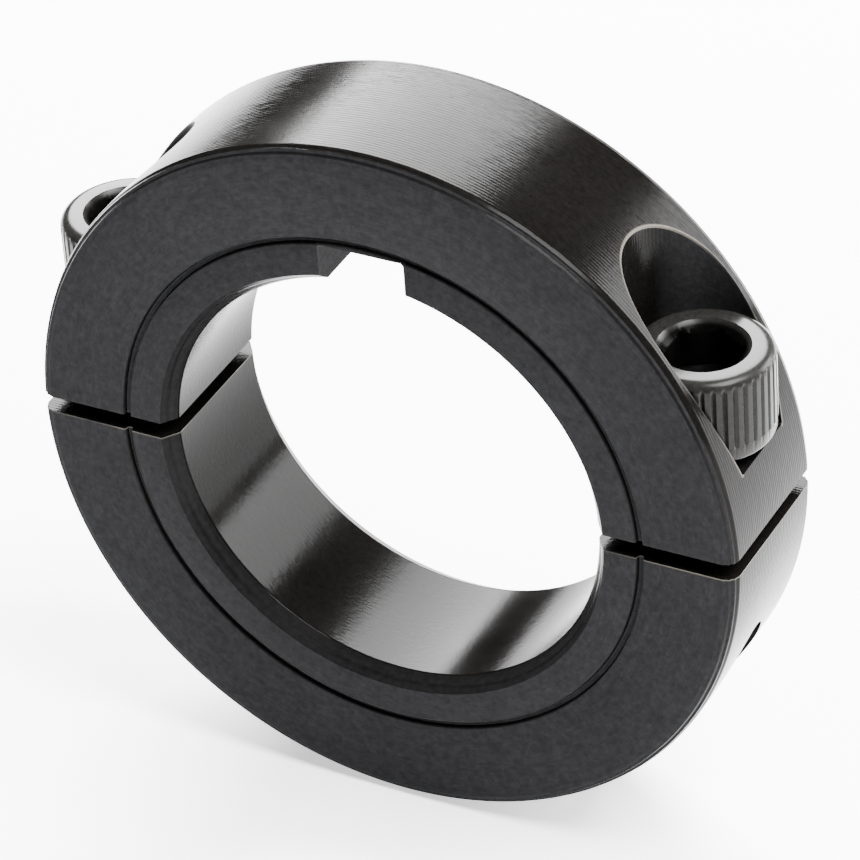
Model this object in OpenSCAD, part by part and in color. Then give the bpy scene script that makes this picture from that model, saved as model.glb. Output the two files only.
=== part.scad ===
// Two-piece clamp shaft collar with a keyway.
// The bore axis is Y, the screws lie along Z and the halves part along Z.
// The origin is the middle of the bore. The grooved face looks towards -Y.
// Both screws are drawn slack, with their heads standing head_lift above the seats.

/* [Collar] */
// Bore diameter, the size of the shaft that the collar clamps
bore_d = 31.75; // [30.5:0.05:32]
// Outer diameter
collar_d = 52.39; // [52:0.01:53]
// Width along the shaft
collar_w = 12.7; // [12.6:0.1:14]
// Gap between the two halves
split_gap = 1.2; // [0.4:0.1:1.6]
// Height of the middle of the gap above the bore axis
split_z = 0.3; // [-0.3:0.1:0.6]
// Outer corner chamfer, measured across the face
corner_r = 1.05; // [0.2:0.05:1.2]
// Outer corner chamfer, measured along the shaft
corner_y = 1; // [0.2:0.05:1.2]
// Bore mouth chamfer, measured across the face
mouth_r = 0.85; // [0.2:0.05:1]
// Bore mouth chamfer, measured along the shaft
mouth_y = 1.15; // [0.2:0.05:1.5]

/* [Face groove] */
// Diameter of the middle of the turned groove
groove_d = 38.7; // [38.6:0.1:42]
// Width of the groove at the face
groove_w = 0.6; // [0.3:0.1:0.8]
// Depth of the groove
groove_depth = 0.4; // [0.1:0.1:0.8]

/* [Keyway] */
// Width of the key seat
key_w = 6.35; // [5:0.05:8]
// Far wall of the bore to the floor of the key seat
key_t = 34.72; // [33.5:0.02:34.8]

/* [Screws] */
// Distance between the two screw axes
screw_spacing = 43; // [42:0.1:43.4]
// Thread outer diameter
thread_d = 6.35; // [6:0.05:6.4]
// Thread pitch, 28 turns to the inch
thread_pitch = 0.907; // [0.8:0.001:1.1]
// Length under the head
screw_l = 15.875; // [14:0.005:17]
// Thread length, from the tip
thread_l = 14; // [11:0.1:14]
// Head diameter over the knurl
head_d = 9.52; // [9:0.01:9.6]
// Head height
head_h = 6.35; // [6:0.05:6.6]
// Round on the top edge of the head
head_round = 0.85; // [0.3:0.05:1.2]
// Height of the plain band at the foot of the head
band_h = 1; // [0.5:0.1:1.5]
// Ribs in the straight knurl
knurl_count = 40; // [24:1:60]
// Depth of the knurl
knurl_depth = 0.16; // [0.05:0.01:0.25]
// Socket size across its flats
socket_af = 4.76; // [4.5:0.01:4.8]
// Depth of the socket
socket_depth = 3.2; // [2.5:0.1:3.6]
// Mouth of the socket's lead-in cone
socket_mouth_d = 6.2; // [5.7:0.1:6.4]
// Space between a head and its seat
head_lift = 0.9; // [0:0.1:1.6]

/* [Screw seats] */
// Diameter of the pocket that the head lies in
pocket_d = 10.2; // [10:0.05:10.5]
// Height of the seat above the bore axis
seat_z = 6; // [5:0.1:6.5]
// Clearance hole through the keyed half
clear_d = 6.8; // [6.6:0.1:7]
// Radial room around the thread in the tapped half
thread_room = 0.05; // [0.02:0.01:0.1]

/* [Hidden] */
$fn = 96;
bore_r = bore_d / 2;
collar_r = collar_d / 2;
half_w = collar_w / 2;
groove_mid = groove_d / 2;
screw_x = screw_spacing / 2;
thread_r = thread_d / 2;
head_r = head_d / 2;
// A 60 degree thread: crest an eighth of the pitch, root a quarter, flanks the rest
crest = thread_pitch / 8;
root = thread_pitch / 4;
flank = (thread_pitch - crest - root) / 2;
root_r = thread_r - flank * tan(60);
tip_chamfer = 0.8;
thread_turns = floor((thread_l - tip_chamfer) / thread_pitch);
// The round on the head starts halfway down the knurl's grooves
cap_round = head_round - knurl_depth / 2;
knurl_top = head_h - cap_round;
socket_r = socket_af / 2;
// The cones are a little narrower than the socket's flats where they meet it
cone_r = socket_r - 0.1;
mouth_h = socket_mouth_d / 2 - cone_r;
// The drill cone at the bottom of the socket is 118 degrees
drill_h = cone_r / tan(59);
key_floor = key_t - bore_r;
over = 1;

// Half section of the turned ring: radius across, width along
function ring_outline() = [
    [bore_r, mouth_y - half_w],
    [bore_r + mouth_r, -half_w],
    [groove_mid - groove_w / 2, -half_w],
    [groove_mid - groove_w / 4, groove_depth - half_w],
    [groove_mid + groove_w / 4, groove_depth - half_w],
    [groove_mid + groove_w / 2, -half_w],
    [collar_r - corner_r, -half_w],
    [collar_r, corner_y - half_w],
    [collar_r, half_w - corner_y],
    [collar_r - corner_r, half_w],
    [bore_r + mouth_r, half_w],
    [bore_r, half_w - mouth_y],
];

// One turn of thread as a ring, from the middle of its root
function thread_turn(z) = [
    [root_r, z + root / 2],
    [thread_r, z + root / 2 + flank],
    [thread_r, z + root / 2 + flank + crest],
    [root_r, z + root / 2 + 2 * flank + crest],
];

function arc(cx, cz, r, from, to, steps) = [
    for (i = [0:steps]) let (a = from + (to - from) * i / steps) [cx + r * cos(a), cz + r * sin(a)]
];

// Straight knurl: flat ribs with a V groove between each pair
function knurl_outline(r, depth, count) = [
    for (i = [0:count - 1], k = [0:2])
        let (a = 360 / count * (i + [-0.3, 0.3, 0.5][k]), q = k == 2 ? r - depth : r)
            [q * cos(a), q * sin(a)]
];

module ring() {
    rotate([-90, 0, 0]) rotate_extrude($fn = 180) polygon(ring_outline());
}

// Everything on one side of the gap
module half_space(side) {
    size = collar_d + 2 * over;
    edge = split_z + side * split_gap / 2;
    translate([-size / 2, -size / 2, side > 0 ? edge : edge - size]) cube(size);
}

module at_screws() {
    for (side = [-1, 1]) translate([side * screw_x, 0, 0]) children();
}

module key_seat() {
    translate([-key_w / 2, -half_w - over, 0]) cube([key_w, collar_w + 2 * over, key_floor]);
}

module head_pocket() {
    translate([0, 0, seat_z]) cylinder(d = pocket_d, h = collar_r);
}

module clearance_hole() {
    cylinder(d = clear_d, h = seat_z + over);
}

module tapped_hole() {
    translate([0, 0, -collar_r]) cylinder(r = thread_r + thread_room, h = collar_r + over);
}

module tapped_half() {
    color("#3a3c3f") difference() {
        intersection() {
            ring();
            half_space(-1);
        }
        at_screws() tapped_hole();
    }
}

module keyed_half() {
    color("#45474b") difference() {
        intersection() {
            ring();
            half_space(1);
        }
        key_seat();
        at_screws() {
            head_pocket();
            clearance_hole();
        }
    }
}

module screw_shank() {
    tip = -screw_l;
    turns = [for (i = [0:thread_turns - 1], p = thread_turn(tip + tip_chamfer + i * thread_pitch)) p];
    runout = tip + tip_chamfer + thread_turns * thread_pitch;
    rotate_extrude() polygon(concat(
        [[0, tip], [thread_r - tip_chamfer, tip], [root_r, tip + tip_chamfer]],
        turns,
        [[root_r, runout], [thread_r, runout + flank], [thread_r, over], [0, over]]
    ));
}

module screw_head() {
    foot = 0.25;
    difference() {
        union() {
            rotate_extrude() polygon([
                [0, 0], [head_r - foot - knurl_depth / 2, 0], [head_r - knurl_depth / 2, foot],
                [head_r - knurl_depth / 2, band_h], [0, band_h],
            ]);
            translate([0, 0, band_h]) linear_extrude(knurl_top - band_h)
                polygon(knurl_outline(head_r, knurl_depth, knurl_count));
            rotate_extrude() polygon(concat(
                [[0, knurl_top]], arc(head_r - head_round, knurl_top, cap_round, 0, 90, 8), [[0, head_h]]
            ));
        }
        translate([0, 0, head_h - socket_depth]) rotate([0, 0, 30])
            cylinder(r = socket_r / cos(30), h = head_h, $fn = 6);
        translate([0, 0, head_h - socket_depth - drill_h]) cylinder(r1 = 0, r2 = cone_r, h = drill_h);
        translate([0, 0, head_h - mouth_h])
            cylinder(r1 = cone_r, r2 = socket_mouth_d / 2 + 0.1, h = mouth_h + 0.1);
    }
}

module clamp_screw() {
    translate([0, 0, seat_z + head_lift]) {
        screw_shank();
        screw_head();
    }
}

module left_screw() {
    color("#2c2d30") translate([-screw_x, 0, 0]) clamp_screw();
}

module right_screw() {
    color("#2c2d30") translate([screw_x, 0, 0]) clamp_screw();
}

tapped_half();
keyed_half();
left_screw();
right_screw();
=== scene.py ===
import math

import bmesh
import bpy
from mathutils import Matrix, Vector


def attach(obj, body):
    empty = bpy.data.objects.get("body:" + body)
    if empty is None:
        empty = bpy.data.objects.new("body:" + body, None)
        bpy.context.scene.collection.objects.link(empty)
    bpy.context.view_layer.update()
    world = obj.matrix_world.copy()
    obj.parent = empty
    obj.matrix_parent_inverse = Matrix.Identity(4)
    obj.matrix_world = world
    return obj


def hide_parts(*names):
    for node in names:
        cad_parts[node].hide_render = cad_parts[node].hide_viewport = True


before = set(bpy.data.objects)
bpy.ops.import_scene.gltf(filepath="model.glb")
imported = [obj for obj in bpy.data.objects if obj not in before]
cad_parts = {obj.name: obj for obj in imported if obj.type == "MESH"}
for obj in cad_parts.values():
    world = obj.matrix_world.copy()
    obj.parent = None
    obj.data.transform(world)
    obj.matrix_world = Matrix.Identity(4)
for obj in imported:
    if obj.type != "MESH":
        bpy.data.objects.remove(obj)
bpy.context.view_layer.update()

MM = 0.001
TURN = 2 * math.pi

# Collar, in millimetres. The bore axis is Y, the screws lie along Z and the grooved face looks towards -Y.
BORE_R = 15.875
RIM_R = 26.195
HALF_W = 6.35
GAP = 1.2
SPLIT_Z = 0.3
CORNER_R = 1.05
CORNER_Y = 1.0
MOUTH_R = 0.85
MOUTH_Y = 1.15
GROOVE_R = 19.35
GROOVE_HALF_W = 0.3
GROOVE_DEPTH = 0.4
KEY_HALF_W = 3.175
KEY_FLOOR = 18.845
KEY_CORNER_R = 0.3
SCREW_X = 21.5
POCKET_R = 5.1
SEAT_Z = 6.0
HOLE_R = 3.4
TAP_R = 3.225

# Screws, in millimetres
FOOT_Z = 6.9
FOOT_ROUND = 0.25
HEAD_R = 4.76
HEAD_H = 6.35
BAND_H = 1.0
CAP_ROUND = 0.77
KNURLS = 40
KNURL_DEPTH = 0.16
SOCKET_AF = 4.76
SOCKET_DEPTH = 3.2
SOCKET_MOUTH_R = 3.1
DRILL_DEPTH = 1.4
THREAD_R = 3.175
THREAD_DEPTH = 0.5
PITCH = 0.907
SCREW_L = 15.875
NECK_L = 1.9
TIP_CHAMFER = 0.8

# The collar's edges are rounded this much, in millimetres, where they turn by more than this many degrees
EDGE_ROUND = 0.12
EDGE_ANGLE = 38

# Steps round each turned surface, in each rib of the knurl, and along the thread
RING_STEPS = 360
POCKET_STEPS = 128
HOLE_STEPS = 96
RIB_STEPS = 12
SHANK_STEPS = 72
SHANK_ROWS = 252


# ---------------------------------------------------------------- mesh tools
def link(mesh, name):
    obj = bpy.data.objects.new(name, mesh)
    bpy.context.scene.collection.objects.link(obj)
    return obj


def from_bmesh(bm, name):
    mesh = bpy.data.meshes.new(name)
    bmesh.ops.recalc_face_normals(bm, faces=bm.faces)
    bm.to_mesh(mesh)
    bm.free()
    return link(mesh, name)


def bridge(bm, p, q):
    """Faces between two closed loops that have the same number of vertices."""
    n = len(p)
    for i in range(n):
        j = (i + 1) % n
        bm.faces.new((p[i], p[j], q[j], q[i]))


def revolve(outline, steps, name):
    """Turns a closed outline of (radius, y) points round the Y axis."""
    bm = bmesh.new()
    rings = []
    for s in range(steps):
        a = TURN * s / steps
        rings.append([
            bm.verts.new((r * MM * math.cos(a), y * MM, r * MM * math.sin(a)))
            for r, y in outline
        ])
    for s in range(steps):
        bridge(bm, rings[s], rings[(s + 1) % steps])
    return from_bmesh(bm, name)


def ring_at(bm, x, z, radii):
    """A ring of vertices round the vertical axis at x, with one radius for each vertex."""
    ring = []
    for i, r in enumerate(radii):
        a = TURN * i / len(radii)
        ring.append(bm.verts.new(((x + r * math.cos(a)) * MM, r * math.sin(a) * MM, z * MM)))
    return ring


def closed_by(bm, low, top, name):
    """The solid between two loops, each closed by one face."""
    bridge(bm, low, top)
    bm.faces.new(low[::-1])
    bm.faces.new(top)
    return from_bmesh(bm, name)


def cylinder(r, z0, z1, x, steps, name):
    bm = bmesh.new()
    low, top = (ring_at(bm, x, z, [r] * steps) for z in (z0, z1))
    return closed_by(bm, low, top, name)


def prism(outline, half_length, name):
    """Extrudes (x, z) points along Y, as far to each side."""
    bm = bmesh.new()
    near, far = (
        [bm.verts.new((x * MM, y * MM, z * MM)) for x, z in outline]
        for y in (-half_length, half_length)
    )
    return closed_by(bm, near, far, name)


def apply(obj):
    bpy.context.view_layer.update()
    graph = bpy.context.evaluated_depsgraph_get()
    mesh = bpy.data.meshes.new_from_object(obj.evaluated_get(graph))
    obj.modifiers.clear()
    obj.data = mesh


def boolean(obj, tool, operation="DIFFERENCE"):
    cut = obj.modifiers.new("cut", "BOOLEAN")
    cut.operation = operation
    cut.solver = "EXACT"
    cut.object = tool
    apply(obj)
    bpy.data.objects.remove(tool)


def smooth(obj):
    for polygon in obj.data.polygons:
        polygon.use_smooth = True


def arc(cx, cy, r, start, end, steps):
    points = []
    for i in range(steps + 1):
        a = math.radians(start + (end - start) * i / steps)
        points.append((cx + r * math.cos(a), cy + r * math.sin(a)))
    return points


# ---------------------------------------------------------------- collar
# How far the cutting shapes reach out, to each side along Y, and past the surface where a hole opens
REACH = 40
REACH_Y = 20
OVERLAP = 1


def corner_points(sign):
    """The outer corner from the face to the rim, as a quarter round with fine turned ridges."""
    steps = 16
    ridges = 4
    ridge_height = 0.04
    points = []
    for i in range(steps + 1):
        t = i / steps
        a = math.radians(90 * t)
        r = RIM_R - CORNER_R + CORNER_R * math.sin(a)
        y = HALF_W - CORNER_Y * (1 - math.cos(a))
        ridge = ridge_height * math.sin(math.pi * t) * math.cos(TURN * ridges * t)
        points.append((r - ridge * 0.6, sign * (y - ridge * 0.8)))
    return points


def mouth_points(sign):
    """The chamfer at the bore's mouth, from the bore to the face, with fine turned ridges."""
    steps = 12
    ridges = 2
    ridge_height = 0.03
    shoulder = 0.1
    points = [(BORE_R, sign * (HALF_W - MOUTH_Y - shoulder))]
    for i in range(steps + 1):
        t = i / steps
        ridge = ridge_height * math.sin(math.pi * t) * math.cos(TURN * ridges * t)
        r = BORE_R + MOUTH_R * t + ridge * 0.8
        y = HALF_W - MOUTH_Y * (1 - t) + ridge * 0.6
        points.append((r, sign * min(y, HALF_W)))
    points.append((BORE_R + MOUTH_R + shoulder, sign * HALF_W))
    return points


def groove_points():
    """The turned groove in the front face, a little rounded at its lips and its floor."""
    side = [
        (GROOVE_HALF_W + 0.04, 0.0),
        (GROOVE_HALF_W - 0.03, 0.05),
        (GROOVE_HALF_W - 0.14, GROOVE_DEPTH - 0.06),
    ]
    inner = [(GROOVE_R - across, depth - HALF_W) for across, depth in side]
    outer = [(GROOVE_R + across, depth - HALF_W) for across, depth in side[::-1]]
    return inner + [(GROOVE_R, GROOVE_DEPTH - HALF_W)] + outer


def ring_outline():
    """Half section, from the bore round the grooved face, the rim and the plain face."""
    front = mouth_points(-1) + groove_points() + corner_points(-1)
    back = corner_points(1)[::-1] + mouth_points(1)[::-1]
    return front + back


def key_outline():
    steps = 5
    inset = KEY_HALF_W - KEY_CORNER_R
    centre_z = KEY_FLOOR - KEY_CORNER_R
    left = arc(-inset, centre_z, KEY_CORNER_R, 180, 90, steps)
    right = arc(inset, centre_z, KEY_CORNER_R, 90, 0, steps)
    return [(-KEY_HALF_W, 0.0)] + left + right + [(KEY_HALF_W, 0.0)]


def half_ring(side, name):
    """The ring's part on one side of the gap."""
    ring = revolve(ring_outline(), RING_STEPS, name)
    low, high = sorted((SPLIT_Z + side * GAP / 2, side * REACH))
    keep = [(-REACH, low), (REACH, low), (REACH, high), (-REACH, high)]
    boolean(ring, prism(keep, REACH_Y, "keep"), "INTERSECT")
    return ring


def soften(obj):
    bevel = obj.modifiers.new("edges", "BEVEL")
    bevel.width = EDGE_ROUND * MM
    bevel.segments = 3
    bevel.limit_method = "ANGLE"
    bevel.angle_limit = math.radians(EDGE_ANGLE)
    bevel.use_clamp_overlap = True
    bevel.harden_normals = True
    smooth(obj)


def keyed_half():
    half = half_ring(1, "upper_half")
    boolean(half, prism(key_outline(), REACH_Y, "key"))
    for x in (-SCREW_X, SCREW_X):
        boolean(half, cylinder(POCKET_R, SEAT_Z, REACH, x, POCKET_STEPS, "pocket"))
        boolean(half, cylinder(HOLE_R, -OVERLAP, SEAT_Z + OVERLAP, x, HOLE_STEPS, "hole"))
    soften(half)
    return half


def tapped_half():
    half = half_ring(-1, "lower_half")
    for x in (-SCREW_X, SCREW_X):
        boolean(half, cylinder(TAP_R, -REACH, OVERLAP, x, HOLE_STEPS, "tap"))
    soften(half)
    return half


# ---------------------------------------------------------------- screws
def hexagon_radii(r, n):
    """Radii of n points round a hexagon whose flats are r from its middle."""
    side = math.pi / 3
    radii = []
    for i in range(n):
        a = TURN * i / n
        radii.append(r / math.cos(a - round(a / side) * side))
    return radii


def knurl_groove(i, depth):
    """How deep the knurl is cut at step i, with one groove in the middle of each rib's steps."""
    half_width = 0.24
    t = (i % RIB_STEPS) / RIB_STEPS - 0.5
    return depth * max(0.0, 1 - abs(t) / half_width) ** 0.8


def head_profile():
    """(z, radius, knurl depth) from the thread under the head, over its top, to the socket's mouth."""
    top = FOOT_Z + HEAD_H
    cap_z = top - CAP_ROUND
    plain_r = HEAD_R - KNURL_DEPTH / 2
    cap_r = CAP_ROUND + KNURL_DEPTH / 2
    profile = [
        (FOOT_Z, THREAD_R, 0),
        (FOOT_Z, plain_r - FOOT_ROUND, 0),
        (FOOT_Z + 0.08, plain_r - 0.08, 0),
        (FOOT_Z + FOOT_ROUND, plain_r, 0),
        (FOOT_Z + BAND_H, plain_r, 0),
        (FOOT_Z + BAND_H + 0.1, HEAD_R, KNURL_DEPTH),
        (cap_z - 0.15, HEAD_R, KNURL_DEPTH),
    ]
    cap_steps = 9
    fade_steps = 3
    for k in range(cap_steps + 1):
        a = math.radians(90 * k / cap_steps)
        fade = KNURL_DEPTH * max(0.0, 1 - k / fade_steps)
        profile.append((cap_z + CAP_ROUND * math.sin(a), HEAD_R - cap_r + cap_r * math.cos(a), fade))
    return profile + [(top, SOCKET_MOUTH_R + 0.05, 0), (top - 0.06, SOCKET_MOUTH_R, 0)]


def head(bm, x):
    """The knurled head and its hexagon socket, with a cone at the mouth and a drilled bottom."""
    n = KNURLS * RIB_STEPS
    floor_z = FOOT_Z + HEAD_H - SOCKET_DEPTH
    hexagon = hexagon_radii(SOCKET_AF / 2, n)
    rings = []
    for z, r, cut in head_profile():
        rings.append(ring_at(bm, x, z, [r - knurl_groove(i, cut) for i in range(n)]))
    for depth in (0.2, 0.4, 0.6, 0.8):
        lead_in = [max(SOCKET_MOUTH_R - depth, flat) for flat in hexagon]
        rings.append(ring_at(bm, x, FOOT_Z + HEAD_H - depth, lead_in))
    rings.append(ring_at(bm, x, floor_z, hexagon))
    rings.append(ring_at(bm, x, floor_z - 0.05, [SOCKET_AF / 2 - 0.1] * n))
    for p, q in zip(rings, rings[1:]):
        bridge(bm, p, q)
    drill_tip = bm.verts.new((x * MM, 0, (floor_z - DRILL_DEPTH) * MM))
    for i in range(n):
        bm.faces.new((rings[-1][i], rings[-1][(i + 1) % n], drill_tip))


def thread_radius(z, a, tip_z, runout_z):
    """A right-hand thread of about 60 degrees. Its crest is an eighth of the pitch and its root a quarter."""
    half_root = 0.125
    flank = 0.3125
    phase = ((z - FOOT_Z) / PITCH - a / TURN) % 1.0
    height = min(1.0, max(0.0, (abs(phase - 0.5) - half_root) / flank))
    r = THREAD_R - THREAD_DEPTH + THREAD_DEPTH * height
    chamfered = min(r, THREAD_R - TIP_CHAMFER + (z - tip_z))
    return max(chamfered, THREAD_R - (runout_z - z))


def shank(bm, x):
    """The threaded shank, from its chamfered tip up to a plain neck that reaches into the head."""
    tip_z = FOOT_Z - SCREW_L
    runout_z = FOOT_Z - NECK_L
    rings = []
    for k in range(SHANK_ROWS + 1):
        z = tip_z + (runout_z - tip_z) * k / SHANK_ROWS
        radii = [thread_radius(z, TURN * i / SHANK_STEPS, tip_z, runout_z) for i in range(SHANK_STEPS)]
        rings.append(ring_at(bm, x, z, radii))
    rings.append(ring_at(bm, x, FOOT_Z + 0.01, [THREAD_R] * SHANK_STEPS))
    for p, q in zip(rings, rings[1:]):
        bridge(bm, p, q)
    bm.faces.new(rings[0][::-1])


def screw(x, name):
    bm = bmesh.new()
    head(bm, x)
    shank(bm, x)
    obj = from_bmesh(bm, name)
    smooth(obj)
    creases = obj.modifiers.new("creases", "EDGE_SPLIT")
    creases.split_angle = math.radians(35)
    return obj


# ---------------------------------------------------------------- materials
FACE_COLOUR = (0.0115, 0.0116, 0.0122)
FACE_ROUGH = 0.5
FACE_SPECULAR = 0.12
RIM_COLOUR = (0.0024, 0.0022, 0.002)
RIM_ROUGH = 0.16
RIM_SPECULAR = 0.5
RIM_IOR = 1.092
SCREW_COLOUR = (0.0085, 0.0083, 0.0078)
SCREW_ROUGH = 0.24
SCREW_SPECULAR = 0.5
SCREW_IOR = 1.16
WORN_STEEL = (0.085, 0.078, 0.067)

# In metres
BUMP_DISTANCE = 0.00003

# In millimetres
WORN_WIDTH = 0.13
FEED_LINES = 0.26
RIM_ZONE = 1.2
SOCKET_SHADE_WIDTH = 0.3

# How light the painted shade leaves the socket's inside and the thread's roots, where 1 is as light as
# outside
SOCKET_SHADE = 0.12


class Steel:
    """A shader with the object's own coordinates in metres and the noises that both steels share."""

    def __init__(self, name):
        self.material = bpy.data.materials.new(name)
        self.material.use_nodes = True
        self.tree = self.material.node_tree
        self.shader = self.tree.nodes["Principled BSDF"]
        self.position = self.add("ShaderNodeTexCoord").outputs["Object"]
        self.x, self.y, self.z = self.split(self.position)
        self.radius = self.length(self.x, self.z)
        self.blotch = self.noise(self.position, 120.0, 4.0)
        self.grain = self.noise(self.position, 2600.0, 4.0, 0.65)
        self.lines = self.turning_lines()

    def add(self, kind, **values):
        node = self.tree.nodes.new(kind)
        for key, value in values.items():
            setattr(node, key, value)
        return node

    def wire(self, a, b):
        self.tree.links.new(a, b)

    def put(self, value, socket):
        """Sets a socket to a number, or links an output to it."""
        if isinstance(value, (int, float)):
            socket.default_value = value
        else:
            self.wire(value, socket)

    def split(self, vector):
        node = self.add("ShaderNodeSeparateXYZ")
        self.wire(vector, node.inputs[0])
        return node.outputs

    def math(self, operation, a, b=None):
        node = self.add("ShaderNodeMath", operation=operation)
        self.put(a, node.inputs[0])
        if b is not None:
            self.put(b, node.inputs[1])
        return node.outputs[0]

    def product(self, first, *others):
        for other in others:
            first = self.math("MULTIPLY", first, other)
        return first

    def length(self, a, b):
        return self.math("SQRT", self.math("ADD", self.product(a, a), self.product(b, b)))

    def noise(self, vector, scale, detail=3.0, rough=0.5):
        node = self.add("ShaderNodeTexNoise")
        node.inputs["Scale"].default_value = scale
        node.inputs["Detail"].default_value = detail
        node.inputs["Roughness"].default_value = rough
        self.wire(vector, node.inputs["Vector"])
        return node.outputs["Fac"]

    def ramp(self, value, low, high, a, b):
        """a where value is at low, b where it is at high, and between them in proportion."""
        node = self.add("ShaderNodeMapRange")
        for key, number in (("From Min", low), ("From Max", high), ("To Min", a), ("To Max", b)):
            node.inputs[key].default_value = number
        self.wire(value, node.inputs["Value"])
        return node.outputs["Result"]

    def blend(self, factor, a, b):
        """The number a where factor is 0, and b where it is 1."""
        node = self.add("ShaderNodeMix", data_type="FLOAT")
        self.wire(factor, node.inputs[0])
        node.inputs[2].default_value = a
        node.inputs[3].default_value = b
        return node.outputs[0]

    def blend_colour(self, factor, a, b):
        """Colour a, or the colour linked as a, where factor is 0, and colour b where it is 1."""
        node = self.add("ShaderNodeMix", data_type="RGBA")
        self.wire(factor, node.inputs[0])
        if isinstance(a, tuple):
            node.inputs[6].default_value = (*a, 1)
        else:
            self.wire(a, node.inputs[6])
        node.inputs[7].default_value = (*b, 1)
        return node.outputs[2]

    def shade(self, colour, factor):
        node = self.add("ShaderNodeVectorMath", operation="SCALE")
        if isinstance(colour, tuple):
            node.inputs[0].default_value = colour
        else:
            self.wire(colour, node.inputs[0])
        self.wire(factor, node.inputs["Scale"])
        return node.outputs[0]

    def turning_lines(self):
        """Noise that is fine across the lathe's feed and long round the bore axis."""
        stretched = self.add("ShaderNodeCombineXYZ")
        angle = self.math("ARCTAN2", self.z, self.x)
        self.wire(self.product(angle, 0.004), stretched.inputs[0])
        self.wire(self.y, stretched.inputs[1])
        self.wire(self.radius, stretched.inputs[2])
        return self.noise(stretched.outputs[0], 7000.0, 2.0)

    def tone(self):
        """How much lighter or darker than its colour the oxide is from place to place."""
        return self.product(
            self.ramp(self.blotch, 0.3, 0.7, 0.94, 1.06),
            self.ramp(self.grain, 0.3, 0.7, 0.74, 1.28),
            self.ramp(self.lines, 0.3, 0.7, 0.88, 1.12),
        )

    def from_screw_axis(self):
        """Distance from the nearer screw's axis."""
        across = self.math("SUBTRACT", self.math("ABSOLUTE", self.x), SCREW_X * MM)
        return self.length(across, self.y)

    def finish(self, colour, specular, rough, ior):
        inputs = self.shader.inputs
        self.wire(colour, inputs["Base Color"])
        self.wire(specular, inputs["Specular IOR Level"])
        self.wire(self.math("ADD", rough, self.ramp(self.blotch, 0.3, 0.7, -0.04, 0.06)), inputs["Roughness"])
        inputs["Metallic"].default_value = 0.0
        inputs["IOR"].default_value = ior

    def bump(self, height, strength):
        node = self.add("ShaderNodeBump")
        node.inputs["Strength"].default_value = strength
        node.inputs["Distance"].default_value = BUMP_DISTANCE
        self.wire(height, node.inputs["Height"])
        self.wire(node.outputs[0], self.shader.inputs["Normal"])


def worn_edges(steel, up):
    """1 on the lower half's gap edge and at the mouths of the screw pockets, fading to 0 beside them."""
    tolerance = 0.00001
    below = steel.math("SUBTRACT", (SPLIT_Z - GAP / 2) * MM, steel.z)
    in_lower_half = steel.math("GREATER_THAN", below, -tolerance)
    on_split_face = steel.math("GREATER_THAN", up, 0.96)
    beside_split_face = steel.math("SUBTRACT", 1.0, on_split_face)
    near_gap = steel.ramp(below, 0.0, WORN_WIDTH * MM, 1.0, 0.0)
    gap_edge = steel.product(near_gap, in_lower_half, beside_split_face)
    off_wall = steel.math("ABSOLUTE", steel.math("SUBTRACT", steel.from_screw_axis(), POCKET_R * MM))
    near_wall = steel.ramp(off_wall, 0.0, WORN_WIDTH * MM, 1.0, 0.0)
    near_rim = steel.math("GREATER_THAN", steel.radius, (RIM_R - WORN_WIDTH) * MM)
    above_seat = steel.math("GREATER_THAN", steel.z, (SEAT_Z - WORN_WIDTH) * MM)
    pocket_mouth = steel.product(near_wall, near_rim, above_seat)
    return steel.math("MAXIMUM", gap_edge, pocket_mouth)


def key_seat_area(steel):
    """1 in the key seat, else 0."""
    beside = steel.math("LESS_THAN", steel.math("ABSOLUTE", steel.x), (KEY_HALF_W + 0.1) * MM)
    above = steel.math("GREATER_THAN", steel.z, (BORE_R - 0.6) * MM)
    inside = steel.math("LESS_THAN", steel.radius, (KEY_FLOOR + 1.0) * MM)
    return steel.product(beside, above, inside)


def feed_lines(steel, is_matt):
    """A wave across the rim, with one period for each of the lathe's feed lines."""
    wander = steel.product(steel.noise(steel.position, 60.0, 1.0), 2.0)
    along = steel.product(steel.y, TURN / (FEED_LINES * MM))
    wave = steel.math("SINE", steel.math("ADD", along, wander))
    on_rim = steel.math("GREATER_THAN", steel.radius, (RIM_R - RIM_ZONE) * MM)
    return steel.product(wave, on_rim, steel.math("SUBTRACT", 1.0, is_matt))


def collar_oxide():
    """Polished on the rim and in the bore, matt on the faces and in the milled key seat."""
    steel = Steel("collar_oxide")
    normal = steel.split(steel.add("ShaderNodeNewGeometry").outputs["Normal"])
    is_face = steel.ramp(steel.math("ABSOLUTE", normal[1]), 0.45, 0.85, 0.0, 1.0)
    is_matt = steel.math("MAXIMUM", is_face, key_seat_area(steel))
    oxide = steel.shade(steel.blend_colour(is_matt, RIM_COLOUR, FACE_COLOUR), steel.tone())
    worn = steel.product(worn_edges(steel, normal[2]), steel.ramp(steel.blotch, 0.42, 0.6, 0.15, 1.0))
    steel.finish(
        steel.blend_colour(worn, oxide, WORN_STEEL),
        steel.blend(is_matt, RIM_SPECULAR, FACE_SPECULAR),
        steel.blend(is_matt, RIM_ROUGH, FACE_ROUGH),
        RIM_IOR,
    )
    height = steel.math("ADD", steel.lines, steel.product(steel.grain, 0.5))
    height = steel.math("ADD", height, steel.product(feed_lines(steel, is_matt), 0.26))
    steel.bump(height, 0.35)
    return steel.material


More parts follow.
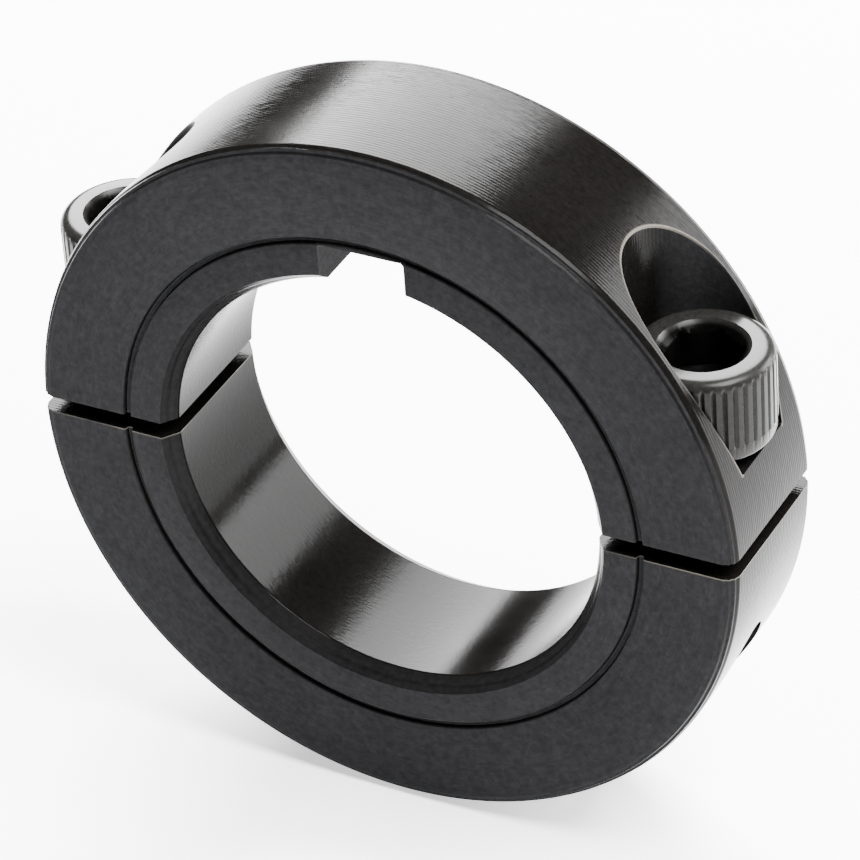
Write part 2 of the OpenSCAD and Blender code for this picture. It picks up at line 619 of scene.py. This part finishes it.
def screw_oxide_and_socket_shade():
    """Even all over, with painted shade that darkens the colour and specular inside the socket and in the
    thread's roots.
    """
    steel = Steel("screw_oxide_and_socket_shade")
    dark_r = SOCKET_MOUTH_R - SOCKET_SHADE_WIDTH
    light_r = SOCKET_MOUTH_R - 0.02
    # Painted shade: colour and specular fall to SOCKET_SHADE near the screw's axis, inside the socket and in
    # the thread's roots
    painted_shade_factor = steel.ramp(steel.from_screw_axis(), dark_r * MM, light_r * MM, SOCKET_SHADE, 1.0)
    oxide = steel.shade(SCREW_COLOUR, steel.tone())
    steel.finish(steel.shade(oxide, painted_shade_factor), steel.product(painted_shade_factor, SCREW_SPECULAR), SCREW_ROUGH, SCREW_IOR)
    height = steel.math("ADD", steel.product(steel.lines, 0.1), steel.product(steel.grain, 0.5))
    steel.bump(height, 0.15)
    return steel.material


# ---------------------------------------------------------------- pieces on their bodies
upper = keyed_half()
lower = tapped_half()
left = screw(-SCREW_X, "left_cap_screw")
right = screw(SCREW_X, "right_cap_screw")
collar_paint = collar_oxide()
screw_paint = screw_oxide_and_socket_shade()

for obj, node, body, slot, paint in (
    (lower, "tapped_half", "tapped_half", "collar_steel", collar_paint),
    (upper, "keyed_half", "keyed_half", "collar_steel", collar_paint),
    (left, "left_screw", "left_screw", "screw_steel", screw_paint),
    (right, "right_screw", "right_screw", "screw_steel", screw_paint),
):
    obj.data.materials.clear()
    obj.data.materials.append(paint)
    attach(obj, body)
    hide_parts(node)


# ---------------------------------------------------------------- floor and light
# In metres and watts. The floor lies just under the rim.
FLOOR_Z = -0.02625
FLOOR_HALF = 3.0
BAND_DISTANCE = 0.6

# The rim and the bore mirror what lies this far across the bore axis and this far behind
BAND_ACROSS = 0.709
BAND_BEHIND = 0.705


def white_floor():
    corners = [(x * FLOOR_HALF, y * FLOOR_HALF, FLOOR_Z) for x, y in ((-1, -1), (1, -1), (1, 1), (-1, 1))]
    mesh = bpy.data.meshes.new("floor")
    mesh.from_pydata(corners, [], [(0, 1, 2, 3)])
    paint = bpy.data.materials.new("floor_white")
    paint.use_nodes = True
    inputs = paint.node_tree.nodes["Principled BSDF"].inputs
    inputs["Base Color"].default_value = (0.95, 0.95, 0.95, 1)
    inputs["Roughness"].default_value = 0.9
    inputs["Emission Color"].default_value = (1, 1, 1, 1)
    inputs["Emission Strength"].default_value = 1.0
    mesh.materials.append(paint)
    floor = link(mesh, "floor")


def dim_world():
    world = bpy.data.worlds.new("studio")
    bpy.context.scene.world = world
    world.use_nodes = True
    background = world.node_tree.nodes["Background"]
    background.inputs["Color"].default_value = (1, 1, 1, 1)
    background.inputs["Strength"].default_value = 0.04


def lamp(name, place, size, power, across=(1, 0, 0)):
    """A rectangular light facing the origin, with its first side along across."""
    data = bpy.data.lights.new(name, "AREA")
    data.shape = "RECTANGLE"
    data.size, data.size_y = size
    data.energy = power
    obj = bpy.data.objects.new(name, data)
    away = Vector(place).normalized()
    side = Vector(across) - Vector(across).dot(away) * away
    side.normalize()
    turned = Matrix((side, away.cross(side), away)).transposed()
    obj.matrix_world = Matrix.Translation(place) @ turned.to_4x4()
    bpy.context.scene.collection.objects.link(obj)


def band_lamp(name, phi, size, power):
    """A light that the rim and the bore mirror as a band, at phi degrees round the bore axis."""
    a = math.radians(phi)
    direction = Vector((BAND_ACROSS * math.cos(a), BAND_BEHIND, BAND_ACROSS * math.sin(a)))
    lamp(name, direction * BAND_DISTANCE, size, power, across=(-math.sin(a), 0, math.cos(a)))


white_floor()
dim_world()
band_lamp("back_box", 119, (0.45, 0.26), 31.0)
band_lamp("side_box", 26, (0.30, 0.26), 12.0)
lamp("overhead", (0.42, -0.02, 0.85), (0.5, 0.5), 55.0)


# ---------------------------------------------------------------- camera
# Azimuth from the front, elevation and roll, in degrees
AZ, EL, ROLL = (math.radians(degrees) for degrees in (29.285, 35.080, -4.036))

# In metres, back from the middle of the front face along the view
FRONT_DISTANCE = 0.35

# In millimetres, how far the camera then moves to its right and upwards
CENTRE_SHIFT = (3.497, 3.977)

flat_right = Vector((math.cos(AZ), math.sin(AZ), 0))
forward = Vector((-math.sin(AZ) * math.cos(EL), math.cos(AZ) * math.cos(EL), -math.sin(EL)))
flat_up = flat_right.cross(forward)
cam_right = math.cos(ROLL) * flat_right + math.sin(ROLL) * flat_up
cam_up = -math.sin(ROLL) * flat_right + math.cos(ROLL) * flat_up
front_face = Vector((0, -HALF_W * MM, 0))
shift = CENTRE_SHIFT[0] * MM * cam_right + CENTRE_SHIFT[1] * MM * cam_up

camera_data = bpy.data.cameras.new("camera")
camera_data.sensor_width = 36
camera_data.lens = 218.48
camera_data.clip_start = 0.01
camera_data.clip_end = 20
camera = bpy.data.objects.new("camera", camera_data)
bpy.context.scene.collection.objects.link(camera)
axes = Matrix((cam_right, cam_up, -forward)).transposed()
camera.matrix_world = Matrix.Translation(front_face + shift - FRONT_DISTANCE * forward) @ axes.to_4x4()
bpy.context.scene.camera = camera
